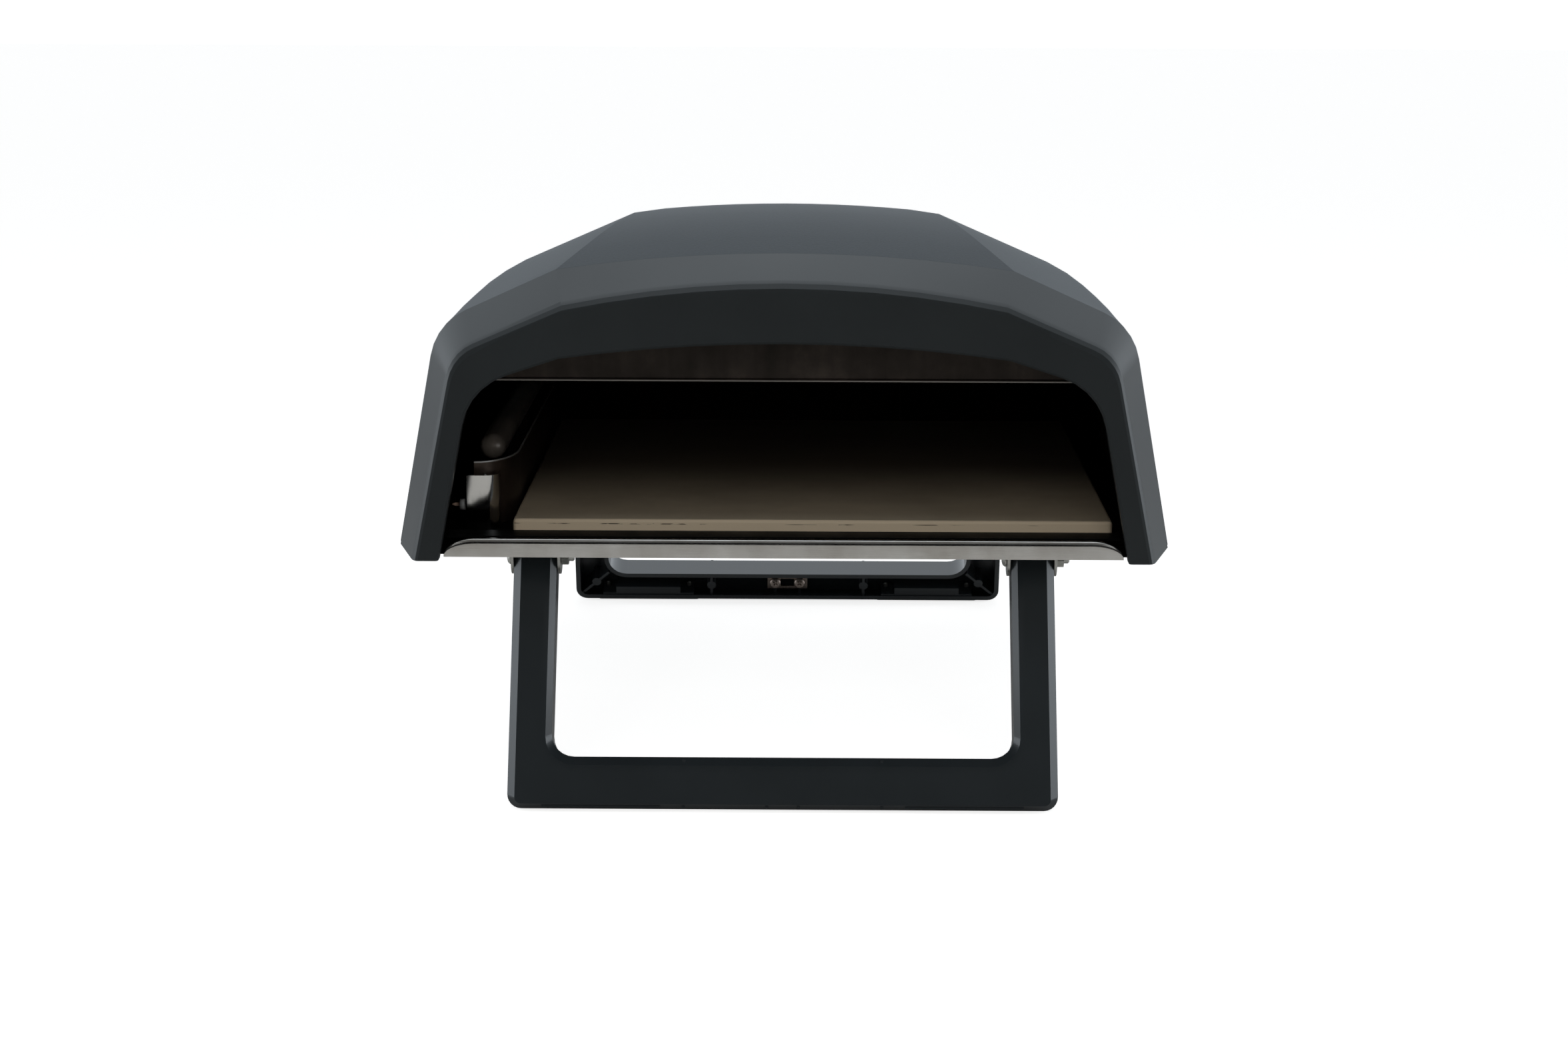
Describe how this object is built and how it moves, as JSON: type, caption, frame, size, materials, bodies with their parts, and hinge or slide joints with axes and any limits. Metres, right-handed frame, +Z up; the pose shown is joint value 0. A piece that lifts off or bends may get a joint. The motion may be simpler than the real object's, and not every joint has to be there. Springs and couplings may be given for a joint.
{
  "type": "portable pizza oven",
  "caption": "Tabletop gas pizza oven with a faceted hood, a flared front visor, a baking stone, a side burner and folding U-shaped legs.",
  "frame": {"origin": "on the ground, under the middle of the oven's bounding box", "axes": "+X to the right as seen from the mouth, +Y from the mouth to the back, +Z up"},
  "size_m": [0.5362, 0.6728, 0.3959],
  "materials": {
    "smooth_paint": "smooth charcoal powder coat, satin",
    "textured_paint": "finely textured charcoal powder coat, matte",
    "leg_paint": "smooth charcoal powder coat, satin",
    "black_enamel": "black stove enamel, satin",
    "dark_steel": "heat-darkened steel sheet, satin",
    "brushed_stainless": "brushed stainless steel",
    "polished_stainless": "polished stainless steel",
    "zinc_plated": "zinc-plated steel, satin",
    "cordierite": "unglazed cordierite baking stone, matte",
    "rubber": "black rubber",
    "brass": "machined brass",
    "copper": "steel electrode with a copper-coloured tip",
    "knob_plastic": "black moulded plastic"
  },
  "bodies": {
    "oven": {"base_pan": "black_enamel", "burner_bracket_back": "dark_steel", "burner_bracket_side": "dark_steel", "burner_guard": "dark_steel", "burner_tube": "brushed_stainless", "control_bezel": "zinc_plated", "control_box": "leg_paint", "front_lip": "brushed_stainless", "front_visor": "smooth_paint", "gas_inlet": "brass", "gas_valve": "brass", "heat_baffle": "brushed_stainless", "hinge_bolt_front_left": "zinc_plated", "hinge_bolt_front_right": "zinc_plated", "hinge_bolt_rear_left": "zinc_plated", "hinge_bolt_rear_right": "zinc_plated", "hinge_bracket_front_left": "zinc_plated", "hinge_bracket_front_right": "zinc_plated", "hinge_bracket_rear_left": "zinc_plated", "hinge_bracket_rear_right": "zinc_plated", "hinge_nut_front_left": "zinc_plated", "hinge_nut_front_right": "zinc_plated", "hinge_nut_rear_left": "zinc_plated", "hinge_nut_rear_right": "zinc_plated", "igniter_electrode": "copper", "igniter_housing": "polished_stainless", "inner_back": "dark_steel", "inner_roof": "dark_steel", "inner_side_left": "dark_steel", "inner_side_right": "dark_steel", "leg_clip_front": "zinc_plated", "leg_clip_rear": "zinc_plated", "outer_shell": "textured_paint", "pizza_stone": "cordierite", "thermocouple": "zinc_plated", "venturi_tube": "dark_steel"},
    "front_leg_assembly": {"front_leg": "leg_paint", "catch_strike_front": "zinc_plated", "rubber_foot_front_left": "rubber", "strike_screw_front_left": "zinc_plated", "foot_screw_front_left_1": "zinc_plated", "foot_screw_front_left_2": "zinc_plated", "rubber_foot_front_right": "rubber", "strike_screw_front_right": "zinc_plated", "foot_screw_front_right_1": "zinc_plated", "foot_screw_front_right_2": "zinc_plated"},
    "rear_leg_assembly": {"rear_leg": "leg_paint", "catch_strike_rear": "zinc_plated", "rubber_foot_rear_left": "rubber", "strike_screw_rear_left": "zinc_plated", "foot_screw_rear_left_1": "zinc_plated", "foot_screw_rear_left_2": "zinc_plated", "rubber_foot_rear_right": "rubber", "strike_screw_rear_right": "zinc_plated", "foot_screw_rear_right_1": "zinc_plated", "foot_screw_rear_right_2": "zinc_plated"},
    "stem": {"valve_stem": "zinc_plated"},
    "knob": {"control_knob": "knob_plastic"}
  },
  "joints": [
    {"name": "front_leg_fold", "type": "hinge", "parent": "oven", "child": "front_leg_assembly", "pos_m": [0, -0.2585, 0.1638], "axis": [1, 0, 0], "range_deg": [0, 112]},
    {"name": "rear_leg_fold", "type": "hinge", "parent": "oven", "child": "rear_leg_assembly", "pos_m": [0, 0.2585, 0.1638], "axis": [-1, 0, 0], "range_deg": [0, 112]},
    {"name": "stem_push", "type": "slide", "parent": "oven", "child": "stem", "axis": [0, -1, 0], "range_m": [0, 0.003], "stiffness_N_per_m": 600, "springref_m": -0.003},
    {"name": "knob_turn", "type": "hinge", "parent": "stem", "child": "knob", "pos_m": [-0.105, 0.3045, 0.2283], "axis": [0, 1, 0], "range_deg": [0, 270]}
  ]
}
